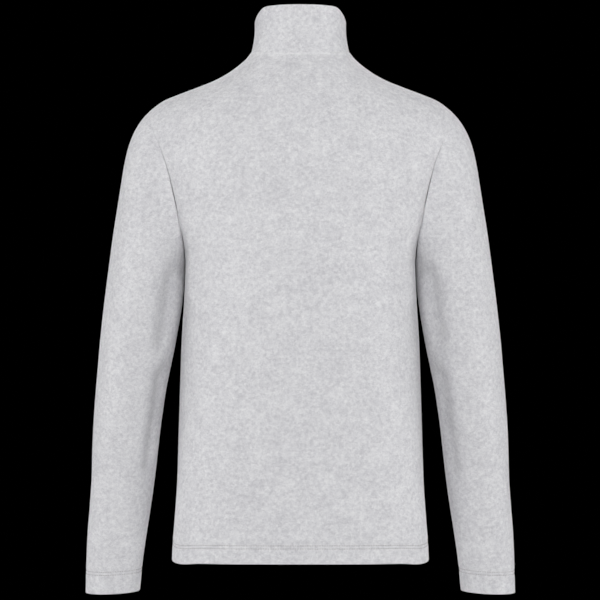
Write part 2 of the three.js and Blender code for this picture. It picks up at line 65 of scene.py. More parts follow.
PUCKER, PUCKER_REACH = 0.16, 5.5  # the same for the puckers beside it
RIDGE_MIDDLE_Z, RIDGE_SIDE_Z, RIDGE_HALF = -9, -4.5, 2.1  # seam allowance of the back neck

# z, half width, depth to the back, depth to the front, squareness
BODY = [
    (-680, 171.9, 121, 124, 4.4),
    (-656, 170.9, 121, 124.5, 4.1),
    (-618, 168.2, 121, 125, 3.6),
    (-580, 165.9, 121, 125.5, 3.25),
    (-504, 163.8, 121, 126, 2.9),
    (-447, 162.1, 121.5, 127.5, 2.8),
    (-390, 160.2, 123, 129, 2.7),
    (-340, 157.2, 125, 130, 2.6),
    (-310, 155.8, 126, 130, 2.57),
    (-285, 155, 127, 130, 2.55),
    (-235, 155, 127, 127, 2.5),
    (-183, 155, 124, 119, 2.4),
]
# z, half width at the back, half width at the front
ARMHOLE = [
    (-285, 155, 155),
    (-270, 155.2, 153.8),
    (-250, 157.4, 153.6),
    (-226, 162, 155.4),
    (-183, 171.5, 161.5),
    (-146, 182, 173),
    (-113, 196, 190),
    (-97, 201.5, 199),
    (-81, 205, 205),
]
# steps out from the neck, x, z
SHOULDER_SEAM = [
    (0, 66, 0),
    (1, 76, -12),
    (2, 95, -27),
    (3, 115, -38.5),
    (4, 138, -48),
    (5, 162, -57),
    (6, 186, -67),
    (7, 205, -81),
]
# column, how far the cloth leans up where it reaches the neck or the shoulder seam
LEAN_BACK = list(enumerate((0.8, 0.78, 0.74, 0.68, 0.58, 0.42, 0.22, 0.1, 0.04, 0, 0, 0, 0)))
LEAN_FRONT = list(
    enumerate((0.9, 0.9, 0.88, 0.84, 0.76, 0.62, 0.42, 0.22, 0.1, 0.04, 0, 0, 0, 0))
)


def mix(a, b, t):
    return a + (b - a) * t


def clamp(t):
    return min(max(t, 0), 1)


def curve(a, slope_a, b, slope_b, t):
    """From a to b on a smooth curve that leaves and arrives at the given slopes."""
    return (
        a * (2 * t**3 - 3 * t**2 + 1)
        + slope_a * (t**3 - 2 * t**2 + t)
        + b * (3 * t**2 - 2 * t**3)
        + slope_b * (t**3 - t**2)
    )


def through(table, at):
    """The row of a table at a value of its first column, on a smooth curve through the rows."""
    k = 0
    while k < len(table) - 2 and at > table[k + 1][0]:
        k += 1
    a, b = table[k], table[k + 1]
    before, after = table[max(k - 1, 0)], table[min(k + 2, len(table) - 1)]
    span = b[0] - a[0]
    t = clamp((at - a[0]) / span)
    row = []
    for c in range(len(a)):
        slope_a = (b[c] - before[c]) / (b[0] - before[0]) * span
        slope_b = (after[c] - a[c]) / (after[0] - a[0]) * span
        row.append(curve(a[c], slope_a, b[c], slope_b, t))
    return row


def lengths(line):
    """How far along a line of points each of them lies."""
    far = [0.0]
    for p, q in zip(line, line[1:]):
        far.append(far[-1] + (q - p).length)
    return far


def spread(line, shares):
    """Points at shares of the length of a line of points."""
    far = lengths(line)
    points, k = [], 0
    for share in shares:
        goal = share * far[-1]
        while k < len(line) - 2 and far[k + 1] < goal:
            k += 1
        points.append(line[k].lerp(line[k + 1], min((goal - far[k]) / (far[k + 1] - far[k]), 1)))
    return points


def neck_seam(angle):
    """Neck seam by angle: 0 at the middle of the back, 90 at the shoulder, 180 at the zip."""
    turn = math.radians(angle)
    reach = NECK_BACK_Y - NECK_SIDE_Y if angle <= 90 else NECK_SIDE_Y - NECK_FRONT_Y
    drop = NECK_BACK_Z if angle <= 90 else NECK_FRONT_Z
    c = math.cos(turn)
    return Vector((NECK_HALF * math.sin(turn), NECK_SIDE_Y + reach * c, drop * c * c))


def armhole_edge(back, k):
    """Armhole edge, k twelfths of the way up from the underarm."""
    turn = math.pi * k / 12
    z = (UNDERARM[1] + SHOULDER[1]) / 2 - (SHOULDER[1] - UNDERARM[1]) / 2 * math.cos(turn)
    x = through(ARMHOLE, z)[1 if back else 2]
    y = (ARMHOLE_BACK if back else -ARMHOLE_FRONT) * math.sin(turn)
    return Vector((x, y if 0 < k < 12 else 0, z))


def body_row(back, z, k, shares):
    """A level row of a panel from its middle outward: at z, or k twelfths up the armhole."""
    edge = armhole_edge(back, k) if k > 0 else Vector((0, 0, z))
    _, width, back_y, front_y, square = through(BODY, edge.z)
    depth = back_y if back else front_y
    end = math.asin(abs(edge.y / depth) ** (square / 2)) if k > 0 else 0
    wide = edge.x / math.cos(end) ** (2 / square) if k > 0 else width
    middle_z = mix(UNDERARM[1], BODY[-1][0], k / 6) if k > 0 else z
    line, fine = [], 160
    for s in range(fine + 1):
        turn = mix(math.pi / 2, end, s / fine)
        x = wide * max(math.cos(turn), 0) ** (2 / square) if s else 0
        here = through(BODY, mix(middle_z, edge.z, (s / fine) ** 2))
        y = here[2 if back else 3] * max(math.sin(turn), 0) ** (2 / square)
        line.append(Vector((x, y if back else -y, here[0])))
    if not back:
        first = next(i for i, p in enumerate(line) if p.x > OPENING)
        p, q = line[first - 1], line[first]
        line[:first] = [p.lerp(q, (OPENING - p.x) / (q.x - p.x))]
    row = spread(line, shares)
    if k > 0:
        row[-1] = edge
    return row


def panel(back, shares, levels):
    """Rows of points of half the back or one front, hem first, from the middle outward."""
    neck_steps = 5 if back else 6
    columns = neck_steps + SHOULDER_SEAM[-1][0]
    way = 1 if back else -1
    low, under = body_row(back, 0, 6, shares), body_row(back, 0, 5, shares)
    rows = []
    top, rise, over = [], [], []
    for i, share in enumerate(shares):
        c = share * columns
        if c <= neck_steps:
            t = c / neck_steps
            end = neck_seam(90 * t if back else mix(ZIP_ANGLE, 90, t))
        else:
            _, x, z = through(SHOULDER_SEAM, c - neck_steps)
            end = Vector((x, NECK_SIDE_Y * (SHOULDER[0] - x) / (SHOULDER[0] - NECK_HALF), z))
        lean = through(LEAN_BACK if back else LEAN_FRONT, c)[1]
        chord = (low[i] - end).length  # its end slopes are this long, and more to the side
        top.append(end)
        rise.append((low[i] - under[i]).normalized() * chord * mix(1.0, 1.25, share))
        bend = Vector((0, -way * math.sqrt(1 - lean**2), lean))
        over.append(bend * chord * mix(1.0, 1.05, share))

    for kind, value in levels:
        if kind == "side":
            rows.append(body_row(back, value, 0, shares))
        elif kind == "armhole":
            rows.append(body_row(back, 0, value, shares))
        else:
            line = [curve(*ends, value) for ends in zip(low, rise, top, over)]
            miss = armhole_edge(back, 6 + 6 * value) - line[-1]
            row = [p + miss * share**4 for p, share in zip(line, shares)]
            rows.append([p.copy() for p in top] if value == 1 else row)
    for row in rows:
        row[0].x = 0 if back else OPENING
    return rows


# Levels of the panels' rows, close together at the hem's stitches and at the seams: by
# height to the underarm, by twelfths up half the armhole, then by shares of the way to the top
HEM_LEVELS = (-680, -679, -677.5, -674, -669, -664.5, -661.5, -660, -658.6, -657.4, -656, -654.5)
SIDE_LEVELS = HEM_LEVELS + (-652, -648) + tuple(-643 + 5.1 * k for k in range(70))
TOP_LENGTH = 175  # about how far the last rows run
LEVELS = [("side", z) for z in SIDE_LEVELS + (UNDERARM[1],)]
LEVELS += [("armhole", k / 4) for k in range(1, 25)] + [("top", k / 30) for k in range(1, 30)]
LEVELS += [("top", 1 - d / TOP_LENGTH) for d in (4.6, 3.4, 2.3, 1.1)] + [("top", 1)]

# Soft troughs in the cloth, or ridges where the depth is negative: from (x, y, z),
# to (x, y, z), half width, depth
BACK_DENTS = [
    (150, 66, -232, 146, 66, -326, 14, -4.6),
    (-150, 66, -226, -146, 66, -332, 15, -4.4),
    (118, 108, -262, 92, 118, -300, 18, 0.7),
    (-112, 110, -250, -88, 119, -292, 18, 0.7),
    (60, 121, -560, 140, 95, -600, 26, 0.9),
    (-50, 121, -585, -138, 96, -560, 24, 1.0),
    (40, 124, -420, 130, 95, -440, 30, 0.8),
    (-30, 124, -455, -128, 96, -425, 28, 0.8),
]


def sink(p, dents):
    """How far the cloth lies in at a point, from the troughs of a table."""
    depth = 0
    for ax, ay, az, bx, by, bz, width, deep in dents:
        a, b = Vector((ax, ay, az)), Vector((bx, by, bz))
        t = clamp((p - a).dot(b - a) / (b - a).length_squared)
        depth += deep * math.exp(-(((p - a.lerp(b, t)).length / width) ** 2))
    return depth


def seam_depth(p):
    """How deep a sewn edge lies in: little at the back neck, more in front and at the underarm."""
    down = clamp((-60 - p.z) / 150)  # from the neck to the underarm
    ahead = clamp((12 - p.y) / 50)  # from the back to the front
    return mix(mix(SHALLOW_SEAM, 1.0, ahead), 1.0, down * down * (3 - 2 * down))


def neck_ridge(p):
    """The neck seam's allowance lies under the cloth at the back and lifts it a little. The same
    amount sets the painted highlight along it.
    """
    if p.y < 0 or p.z < -30:
        return 0
    line = mix(RIDGE_MIDDLE_Z, RIDGE_SIDE_Z, min((p.x / NECK_HALF) ** 2, 1))
    fade = min(p.y / 45, 1)
    return fade * math.exp(-(((p.z - line) / RIDGE_HALF) ** 2))


def pucker(p, spot, seed):
    """Small uneven puckers that the thread draws in beside a row of stitches."""
    along = p.x * 0.83 + p.y * 0.71 + seed
    uneven = math.sin(along * 0.9) + math.sin(along * 0.37 + 1.3) + math.sin(along * 1.2 + 0.4)
    return PUCKER * uneven * math.exp(-((spot / PUCKER_REACH) ** 2))


def run_on(before, end):
    """A sewn edge's point, moved on into its seam."""
    return end + (end - before).normalized() * SEAM_TUCK


def lay_cloth(rows, sewn, dents, stitched=(), tube=False, roll=2.6):
    """A mesh of cloth through rows of points, rolled in at its sewn sides and sunk at its
    stitch rows and troughs. Returns the mesh and its finished rows with their directions."""
    high, wide = len(rows), len(rows[0])
    for c in range(wide):
        if "top" in sewn:
            rows[-1][c] = run_on(rows[-2][c], rows[-1][c])
        if "bottom" in sewn:
            rows[0][c] = run_on(rows[1][c], rows[0][c])
    for row in rows:
        if "left" in sewn and not tube:
            row[0] = run_on(row[1], row[0])
        if "right" in sewn and not tube:
            row[-1] = run_on(row[-2], row[-1])
    mesh = bmesh.new()
    # A vertex value for the painted highlight along the back neck seam's ridge
    seam_highlight = mesh.verts.layers.float.new("seam_highlight")
    bmesh.ops.create_grid(mesh, x_segments=wide - 1, y_segments=high - 1, size=0.5)
    grid = [[None] * wide for _ in range(high)]
    for v in mesh.verts:
        grid[round((v.co.y + 0.5) * (high - 1))][round((v.co.x + 0.5) * (wide - 1))] = v
    for row, points in zip(grid, rows):
        for v, p in zip(row, points):
            v.co = p
    mesh.normal_update()
    middle = grid[high // 2][wide // 2]
    heart = sum((v.co for v in grid[high // 2]), Vector()) / wide
    if not tube:
        heart = Vector((0, 0, middle.co.z))
    if (middle.co - heart).dot(middle.normal) < 0:
        bmesh.ops.reverse_faces(mesh, faces=mesh.faces)
        mesh.normal_update()
    out = [[v.normal.copy() for v in row] for row in grid]
    if tube:
        for row in out:
            row[0] = row[-1] = (row[0] + row[-1]).normalized()

    def rolled(p, edge):
        return seam_depth(edge) * max(0, 1 - (p - edge).length / roll) ** 2

    for r in range(high):
        for c in range(wide):
            p = rows[r][c]
            edges = {"left": rows[r][0], "right": rows[r][-1], "bottom": rows[0][c]}
            edges["top"] = rows[-1][c]
            deep = sink(p, dents) - neck_ridge(p)
            deep += max((rolled(p, edges[side]) for side in sewn), default=0)
            for spot in stitched:
                gap = (p - rows[spot][c]).length
                drawn = STITCH_SINK * math.exp(-((gap / STITCH_REACH) ** 2))
                deep += drawn + pucker(p, gap, spot)
            grid[r][c].co = p - out[r][c] * deep
            # Painted highlight: the neck seam's ridge is made paler in colour, for the light it
            # catches
            grid[r][c][seam_highlight] = neck_ridge(p)
    done = [[v.co.copy() * MM for v in row] for row in grid]
    bmesh.ops.scale(mesh, vec=(MM, MM, MM), verts=mesh.verts)
    return mesh, grid, done, out


def add_piece(name, mesh, material, smooth=True):
    """A new object of a mesh, in one material."""
    if smooth:
        for face in mesh.faces:
            face.smooth = True
    data = bpy.data.meshes.new(name)
    mesh.to_mesh(data)
    mesh.free()
    data.materials.append(material)
    piece = bpy.data.objects.new(name, data)
    bpy.context.collection.objects.link(piece)
    return piece


def soften(piece, width, segments, degrees):
    """Rounds the edges of a piece that are sharper than an angle."""
    edge = piece.modifiers.new("edge", "BEVEL")
    edge.width = width * MM
    edge.segments = segments
    edge.limit_method = "ANGLE"
    edge.angle_limit = math.radians(degrees)
    return edge


def thicken(name, mesh, grid, material, single, double=None, folded=lambda r: False):
    """The object of a cloth mesh, with the cloth's thickness and soft edges."""
    mesh.verts.index_update()
    turned = [v.index for r, row in enumerate(grid) if folded(r) for v in row]
    piece = add_piece(name, mesh, material)
    wall = piece.modifiers.new("wall", "SOLIDIFY")
    wall.thickness = (double or single) * MM
    wall.offset = -1
    wall.use_even_offset = True
    if double:
        piece.vertex_groups.new(name="turned").add(turned, 1.0, "REPLACE")
        wall.vertex_group = "turned"
        wall.thickness_vertex_group = single / double
    soften(piece, 0.35, 2, 55)
    return piece


def new_material(name, roughness):
    """A material, with its nodes, its links and its shader."""
    material = bpy.data.materials.new(name)
    material.use_nodes = True
    nodes, links = material.node_tree.nodes, material.node_tree.links
    shader = nodes["Principled BSDF"]
    shader.inputs["Roughness"].default_value = roughness
    return material, nodes, links, shader


def add_noise(nodes, scale, detail=2, distortion=0):
    """A cloudy texture, with smaller clouds at a larger scale."""
    noise = nodes.new("ShaderNodeTexNoise")
    noise.inputs["Scale"].default_value = scale
    noise.inputs["Detail"].default_value = detail
    noise.inputs["Distortion"].default_value = distortion
    return noise


def add_ramp(nodes, dark, pale, low=0, high=1):
    """A ramp between two colours, which it reaches at two places."""
    ramp = nodes.new("ShaderNodeValToRGB")
    for stop, colour, place in zip(ramp.color_ramp.elements, (dark, pale), (low, high)):
        stop.position = place
        stop.color = (*colour, 1)
    return ramp


def add_bump(nodes, links, height, shader, strength, distance):
    """Relief in a shader's surface, from a height."""
    bump = nodes.new("ShaderNodeBump")
    bump.inputs["Strength"].default_value = strength
    bump.inputs["Distance"].default_value = distance * MM
    links.new(height, bump.inputs["Height"])
    links.new(bump.outputs["Normal"], shader.inputs["Normal"])


def fleece_material():
    """Light grey melange microfleece: pale and darker fibres in soft blotches, with a short
    nap, and a painted highlight that makes it paler along the raised neck seam at the back."""
    material, nodes, links, shader = new_material("fleece", 0.95)
    shader.inputs["Specular IOR Level"].default_value = 0.15
    shader.inputs["Sheen Weight"].default_value = 0.3
    shader.inputs["Sheen Roughness"].default_value = 0.45
    place, courses = nodes.new("ShaderNodeTexCoord"), nodes.new("ShaderNodeMapping")
    courses.inputs["Scale"].default_value = (1, 1, 1.2)
    links.new(place.outputs["Object"], courses.inputs["Vector"])
    blotch, fibre = add_noise(nodes, 180, 3), add_noise(nodes, 520, 3, 1.2)
    patch, nap = add_noise(nodes, 38), add_noise(nodes, 900, 4)
    for texture in (blotch, fibre, patch, nap):
        links.new(courses.outputs["Vector"], texture.inputs["Vector"])
    both, all_three = nodes.new("ShaderNodeMix"), nodes.new("ShaderNodeMix")
    both.inputs["Factor"].default_value = 0.55
    all_three.inputs["Factor"].default_value = 0.14
    # Painted highlight: colour lifted along the back neck seam's ridge, where light catches it
    seam_highlight = nodes.new("ShaderNodeAttribute")
    seam_highlight.attribute_name = "seam_highlight"
    paler = nodes.new("ShaderNodeMath")
    paler.operation = "MULTIPLY_ADD"
    paler.inputs[1].default_value = 0.07
    tones = add_ramp(nodes, (0.512, 0.508, 0.536), (0.752, 0.752, 0.763), 0.37, 0.63)
    links.new(blotch.outputs["Fac"], both.inputs["A"])
    links.new(fibre.outputs["Fac"], both.inputs["B"])
    links.new(both.outputs["Result"], all_three.inputs["A"])
    links.new(patch.outputs["Fac"], all_three.inputs["B"])
    links.new(seam_highlight.outputs["Fac"], paler.inputs[0])
    links.new(all_three.outputs["Result"], paler.inputs[2])
    links.new(paler.outputs["Value"], tones.inputs["Fac"])
    links.new(tones.outputs["Color"], shader.inputs["Base Color"])
    add_bump(nodes, links, nap.outputs["Fac"], shader, 0.35, 0.8)
    return material


fleece = fleece_material()


def out_to_seam(length, count, first=()):
    """Shares along a row: near its start, then evenly, then close together at its seam."""
    even = [k / count for k in range(1, count) if k / count * length > max(first, default=0) + 2]
    ends = [1 - d / length for d in NEAR_SEAM]
    even = [s for s in even if s < ends[0] - 0.4 / count]
    return [0.0] + [d / length for d in first] + even + ends + [1.0]


HEM_DIP, CORNER_X, CORNER_HALF = 2.8, 160, 19


def hem_dip(p):
    """The hem hangs a little lower at the back corners than in the middle and the sides."""
    at_corner = math.exp(-(((abs(p.x) - CORNER_X) / CORNER_HALF) ** 2)) * clamp(p.y / 60)
    return HEM_DIP * at_corner * clamp((-570 - p.z) / 80)


def in_hem(r):
    """Whether a row of a panel lies in the turned hem."""
    return r < len(HEM_LEVELS) and HEM_LEVELS[r] < HEM_TOP


back_shares = out_to_seam(255, 110)
half_back = panel(True, back_shares, LEVELS)
for row in half_back:
    for p in row:
        p.z -= hem_dip(p)
back_rows = [[Vector((-p.x, p.y, p.z)) for p in reversed(row[1:])] + row for row in half_back]
HEM_ROWS = [HEM_LEVELS.index(z) for z in HEM_STITCHES]
mesh, grid, back_done, back_out = lay_cloth(
    back_rows, ("left", "right", "top"), BACK_DENTS, HEM_ROWS
)
back = thicken("back_cloth", mesh, grid, fleece, FLEECE, TURNED, in_hem)
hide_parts("back")
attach(back, "jacket")

# The fronts: two pieces of the same fleece, from the zip to the side seams. Each one's
# edge is turned under along the zip and stitched to its tape.
ZIP_STITCH = 6.5  # from the front's edge
# the same columns as for the back, on the left side
FRONT_DENTS = [
    (152, -52, -258, 108, -108, -226, 12, 2.6),
    (152, -60, -292, 112, -108, -318, 15, 2.2),
    (60, -125, -560, 142, -90, -590, 24, 1.8),
    (30, -128, -420, 120, -108, -455, 26, 1.5),
    (124, -36, -95, 150, -72, -150, 15, 1.4),
]


def on_side(dents, way, wider):
    """A table of troughs for one side, with its half widths changed by a share."""
    return [
        (ax * way, ay, az, bx * way, by, bz, width * wider, deep)
        for ax, ay, az, bx, by, bz, width, deep in dents
    ]


front_shares = out_to_seam(250, 100, (1.0, 2.5, ZIP_STITCH))
left_front = panel(False, front_shares, LEVELS)
right_front = [[Vector((-p.x, p.y, p.z)) for p in row] for row in left_front]
fronts = {}
for (side, way), rows, wider in zip(SIDES, (left_front, right_front), (1, 0.85)):
    dents = on_side(FRONT_DENTS, way, wider)
    mesh, grid, done, out = lay_cloth(rows, ("right", "top"), dents, HEM_ROWS)
    piece = thicken(f"front_{side}_cloth", mesh, grid, fleece, FLEECE, TURNED, in_hem)
    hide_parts(f"front_{side}")
    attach(piece, "jacket")
    fronts[side] = (done, out)

# The collar: a band of fleece folded along its top, standing round the neck and open at
# the zip. It is sewn to the neck edge of the back and the fronts.
RIM_HALF, RIM_BACK_Y, RIM_FRONT_Y = 62, 52, -66
RIM_POWER = 0.87  # under 1, so the rim is a little squarer than an oval
COLLAR_CURVE = 3  # how far the band curves in half way up its sides
STRAIGHT_END = 176.2  # past this angle the collar's end stands straight up beside the zip
COLLAR = 3.6  # two layers of fleece
# angle from the middle of the back, z
RIM = [
    (0, 58),
    (30, 57.5),
    (50, 56),
    (65, 49),
    (78, 42.5),
    (90, 38),
    (120, 27),
    (150, 16),
    (180, 10),
]


def collar_point(angle, t):
    """A point of the collar: by angle from the middle of the back, t from seam to rim."""
    turn = math.radians(angle)
    c = math.cos(turn)
    low = neck_seam(angle)
    x = RIM_HALF * abs(math.sin(turn)) ** RIM_POWER
    middle_y, reach = (RIM_BACK_Y + RIM_FRONT_Y) / 2, (RIM_BACK_Y - RIM_FRONT_Y) / 2
    y = middle_y + reach * math.copysign(abs(c) ** RIM_POWER, c)
    high = Vector((x, y, through(RIM, angle)[1]))
    if angle > STRAIGHT_END:
        low.x = high.x = OPENING
    p = low.lerp(high, t)
    inward = Vector((-p.x, middle_y - p.y, 0)).normalized()
    return p + inward * COLLAR_CURVE * math.sin(turn) * 2 * t * (1 - t)


# Columns and rows of the collar, close together at the zip, the neck seam and the rim
collar_angles = [ZIP_ANGLE * k / 60 for k in range(59)]
collar_angles += [ZIP_ANGLE - d for d in (1.4, 0.6)] + [ZIP_ANGLE]
collar_heights = [0, 0.014, 0.028, 0.043, 0.06, 0.08] + [0.11 + 0.06 * k for k in range(14)]
collar_heights += [0.935, 0.96, 0.985, 1]
half_collar = [[collar_point(a, t) for a in collar_angles] for t in collar_heights]
for row, t in zip(half_collar, collar_heights):
    end = collar_point(179, t)
    row[-1] = Vector((OPENING, end.y, end.z))
collar_rows = [[Vector((-p.x, p.y, p.z)) for p in reversed(row[1:])] + row for row in half_collar]
# the same columns as for the back
COLLAR_DENTS = [
    (30, 58, 5, 58, 25, 18, 9, 0.7),
    (-26, 59, 14, -57, 24, 8, 9, 0.6),
    (45, -55, -25, 60, -30, 0, 9, 0.8),
    (-40, -60, -20, -60, -30, 5, 9, 0.8),
]
mesh, grid, collar_done, collar_out = lay_cloth(collar_rows, ("bottom",), COLLAR_DENTS)
collar = thicken("collar_cloth", mesh, grid, fleece, COLLAR)
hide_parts("collar")
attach(collar, "jacket")

# The sleeves: one piece of fleece each, closed by a seam from the underarm to the cuff,
# with the cuff turned in and stitched. They hang beside the body, bent a little forward.
# step down the sleeve, outer x, outer z, inner x, inner z, mid y, half depth
SLEEVE = [
    (0, 205, -81, 155, -285, 2, 60),
    (1, 216, -94, 155.7, -289, 2, 61),
    (2, 225.5, -110, 156.1, -294, 2, 62),
    (3, 233, -130, 156.5, -300, 2, 63),
    (4, 238.5, -154, 157, -308, 2, 64),
    (5, 243, -182, 157.6, -317, 2, 65),
    (6, 248, -214, 158.5, -329, 2.5, 65.5),
    (7, 253.3, -248, 160.2, -344, 3, 65.5),
    (8, 258, -284, 162.6, -360, 4, 65),
    (9, 262.7, -320, 166.2, -380, 4.5, 64),
    (10, 267, -356, 170.4, -403, 5, 62.5),
    (11, 270.8, -392, 175.7, -428, 5, 60.5),
    (12, 274, -428, 181.4, -456, 4, 58),
    (13, 277.4, -466, 186.2, -487, 2, 55.5),
    (14, 280.3, -504, 190.4, -518, -1, 53),
    (15, 282.4, -542, 194.2, -550, -5, 50),
    (16, 283.8, -580, 198.4, -583, -10, 47),
    (17, 286.8, -618, 203.4, -617, -15, 44),
    (18, 290.4, -656, 209.1, -652, -20, 41),
    (19, 292.3, -694, 215, -691, -25, 38.2),
    (20, 293.7, -735.6, 219.2, -732.6, -29, 35.5),
]


def oval(section, turn):
    """A point of the sleeve's oval section: 0 outside, half a turn inside, by the back."""
    _, ox, oz, ix, iz, y, deep = section
    c = math.cos(turn)
    x, z = (ox + ix) / 2 + (ox - ix) / 2 * c, (oz + iz) / 2 + (oz - iz) / 2 * c
    return Vector((x, y + deep * math.sin(turn), z))


def sleeve(steps):
    """Rings of the left sleeve at steps down it, each from the underarm by the back."""
    half = 48
    around = [12 * k / half for k in range(half + 1)]
    loop = [armhole_edge(True, k) for k in around]
    loop += [armhole_edge(False, k) for k in reversed(around[:-1])]
    first = SLEEVE[0]
    axis = Vector((first[1] - first[3], 0, first[2] - first[4])) / 2
    centre = Vector(((first[1] + first[3]) / 2, first[5], (first[2] + first[4]) / 2))
    turns, rest = [], []
    for j, p in enumerate(loop):
        d = p - centre
        turn = math.atan2(d.y / first[6], d.dot(axis) / axis.length_squared)
        if j < half:
            turn = abs(turn) if j else math.pi
        elif j == half:
            turn = 0
        else:
            turn = -abs(turn) if j < 2 * half else -math.pi
        turns.append(turn)
        rest.append(p - oval(first, turn))
    rings = []
    for r in steps:
        # The armhole's own shape fades out, and the columns grow even, down the upper arm
        section = through(SLEEVE, r)
        keep, even = max(0, 1 - r / 6) ** 2, min(1, r / 8)
        ring = []
        for j, turn in enumerate(turns):
            turn = mix(turn, math.pi * (1 - j / half), even)
            ring.append(oval(section, turn) + rest[j] * keep)
        rings.append(ring)
    return rings


# Steps of the sleeve's rings, close together at the armhole and the cuff
CUFF_ROWS = (24.3, 28.3)  # stitch rows, from the cuff's edge
CUFF_STEP = 39  # about how long the last step of the sleeve is
sleeve_steps = [0, 0.05, 0.12, 0.25] + [0.4 + 0.2 * k for k in range(49)]
sleeve_steps += [10.2 + 0.14 * k for k in range(64)]
cuff_levels = (33, 31.5, 29.8, 28.3, 26.8, 25.6, 24.3, 22.8, 20, 16, 11, 6.5, 3, 1.2, 0)
sleeve_steps += [SLEEVE[-1][0] - d / CUFF_STEP for d in cuff_levels]
# the same columns as for the back, on the left side
SLEEVE_DENTS = [
    (168, 34, -262, 160, 22, -300, 8, 1.6),
    (186, 58, -140, 172, 60, -208, 9, 2.4),
    (168, 62, -196, 184, 66, -204, 4, 0.8),
    (164, 58, -222, 178, 64, -228, 4.5, 0.9),
    (167, 49, -312, 174, 46, -386, 19, 8.2),
    (186, 56, -330, 190, 50, -396, 12, 1.8),
    (160, 30, -330, 200, 60, -305, 15, 1.2),
    (162, -34, -300, 205, -62, -262, 12, 2.8),
    (166, -30, -345, 208, -62, -326, 14, 2.2),
    (186, -30, -470, 234, -56, -452, 12, 3.2),
    (182, -30, -438, 224, -60, -414, 12, 2.3),
    (190, -30, -502, 240, -54, -492, 13, 2.2),
    (186, 30, -452, 214, 54, -425, 15, 1.2),
    (183, 36, -440, 200, 24, -560, 15, 5.4),
    (192, 24, -520, 226, 50, -545, 16, 1.0),
    (276, 20, -560, 250, 38, -600, 18, 0.9),
    (284, -34, -660, 252, -60, -650, 13, 1.2),
    (216, 0, -650, 240, 18, -668, 13, 1.0),
]
first_of_cuff = len(sleeve_steps) - len(cuff_levels)
cuff_stitched = [first_of_cuff + cuff_levels.index(d) for d in CUFF_ROWS]


def in_cuff(r):
    """Whether a ring of a sleeve lies in the turned cuff."""
    return r > cuff_stitched[0] - 2


sleeve_done = {}
for (side, way), wider in zip(SIDES, (1, 1.15)):
    rings = [[Vector((p.x * way, p.y, p.z)) for p in ring] for ring in sleeve(sleeve_steps)]
    dents = on_side(SLEEVE_DENTS, way, wider)
    mesh, grid, done, out = lay_cloth(
        rings, ("left", "right", "bottom"), dents, cuff_stitched, tube=True, roll=9
    )
    piece = thicken(f"sleeve_{side}_cloth", mesh, grid, fleece, FLEECE, TURNED, in_cuff)
    weld = piece.modifiers.new("weld", "WELD")
    weld.merge_threshold = 0.02 * MM
    piece.modifiers.move(2, 0)  # the underarm seam is closed before the cloth gets its wall
    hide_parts(f"sleeve_{side}")
    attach(piece, "jacket")
    sleeve_done[side] = (done, out)

# The stitching: twin rows of polyester thread at the hem and cuffs, a single row beside the
# zip. Each stitch is a short length of thread drawn a little into the nap.
thread, _, _, shader = new_material("thread", 0.6)
# The thread's dark grey is partly its own colour and partly painted shade, for the shade in the
# drawn-in stitch rows
shader.inputs["Base Color"].default_value = (0.235, 0.215, 0.225, 1)

STITCH_PITCH, STITCH_LONG, STITCH_THICK = 3.2, 2.6, 0.7
STITCH_PROUD = 0.05  # how far a stitch's middle lies above the cloth
STITCHES_AT_ONCE = 40


def sew(mesh, line, out):
    """Adds stitches along a line of points lying on the cloth, a few dozen at a time."""
    far = lengths(line)
    count = int(far[-1] / (STITCH_PITCH * MM))
    long, thick = STITCH_LONG / 2 * MM, STITCH_THICK / 2 * MM
    size = Matrix.Diagonal((long, thick, thick, 1))
    few, batch = bmesh.new(), bpy.data.meshes.new("stitches")
    k = 0
    for s in range(count):
        goal = (s + 0.5) * far[-1] / count
        while k < len(line) - 2 and far[k + 1] < goal:
            k += 1
        t = (goal - far[k]) / (far[k + 1] - far[k])
        spot = line[k].lerp(line[k + 1], t)
        up = out[k].lerp(out[k + 1], t).normalized()
        run = (line[k + 1] - line[k]).normalized()
        up = (up - run * up.dot(run)).normalized()
        turn = Matrix((run, up.cross(run), up)).transposed().to_4x4()
        place = Matrix.Translation(spot + up * STITCH_PROUD * MM) @ turn @ size
        bmesh.ops.create_uvsphere(few, u_segments=6, v_segments=4, radius=1, matrix=place)
        if (s + 1) % STITCHES_AT_ONCE == 0 or s == count - 1:
            few.to_mesh(batch)
            mesh.from_mesh(batch)
            few.clear()
    few.free()
    bpy.data.meshes.remove(batch)


def stitching(name, lines):
    """One piece of thread that holds the stitches of several lines."""
    mesh = bmesh.new()
    for line, out in lines:
        sew(mesh, line, out)
    piece = add_piece(name, mesh, thread)
    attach(piece, "jacket")


ZIP_COLUMN = 3  # column of the front that is stitched along the zip
hem_lines = [(back_done[r], back_out[r]) for r in HEM_ROWS]
for done, out in fronts.values():
    hem_lines += [(done[r][ZIP_COLUMN:], out[r][ZIP_COLUMN:]) for r in HEM_ROWS]
stitching("hem_stitches", hem_lines)
for side, (done, out) in sleeve_done.items():
    stitching(f"cuff_stitches_{side}", [(done[r], out[r]) for r in cuff_stitched])


NEAR_ZIP = 20  # columns of the front and of the collar that lie near the zip
AT_NECK = 5  # rows of the front and of the collar that lie in the neck seam


def zip_edge(side, way):
    """Rows of the cloth beside the zip, hem to rim, each from its edge outward and turned
    to the left side, with the thickness of the cloth there."""
    done, out = fronts[side]
    mirror = Vector((way, 1, 1))
    rows = []
    for r in range(len(done) - AT_NECK):
        rows.append((done[r][:NEAR_ZIP], out[r][:NEAR_ZIP], TURNED if in_hem(r) else FLEECE))
    # The collar's rows run from the right side to the left
    for points, ways in zip(collar_done[AT_NECK:], collar_out[AT_NECK:]):
        rows.append((points[::-way][:NEAR_ZIP], ways[::-way][:NEAR_ZIP], COLLAR))
    return [([p * mirror for p in ps], [n * mirror for n in ns], wall) for ps, ns, wall in rows]


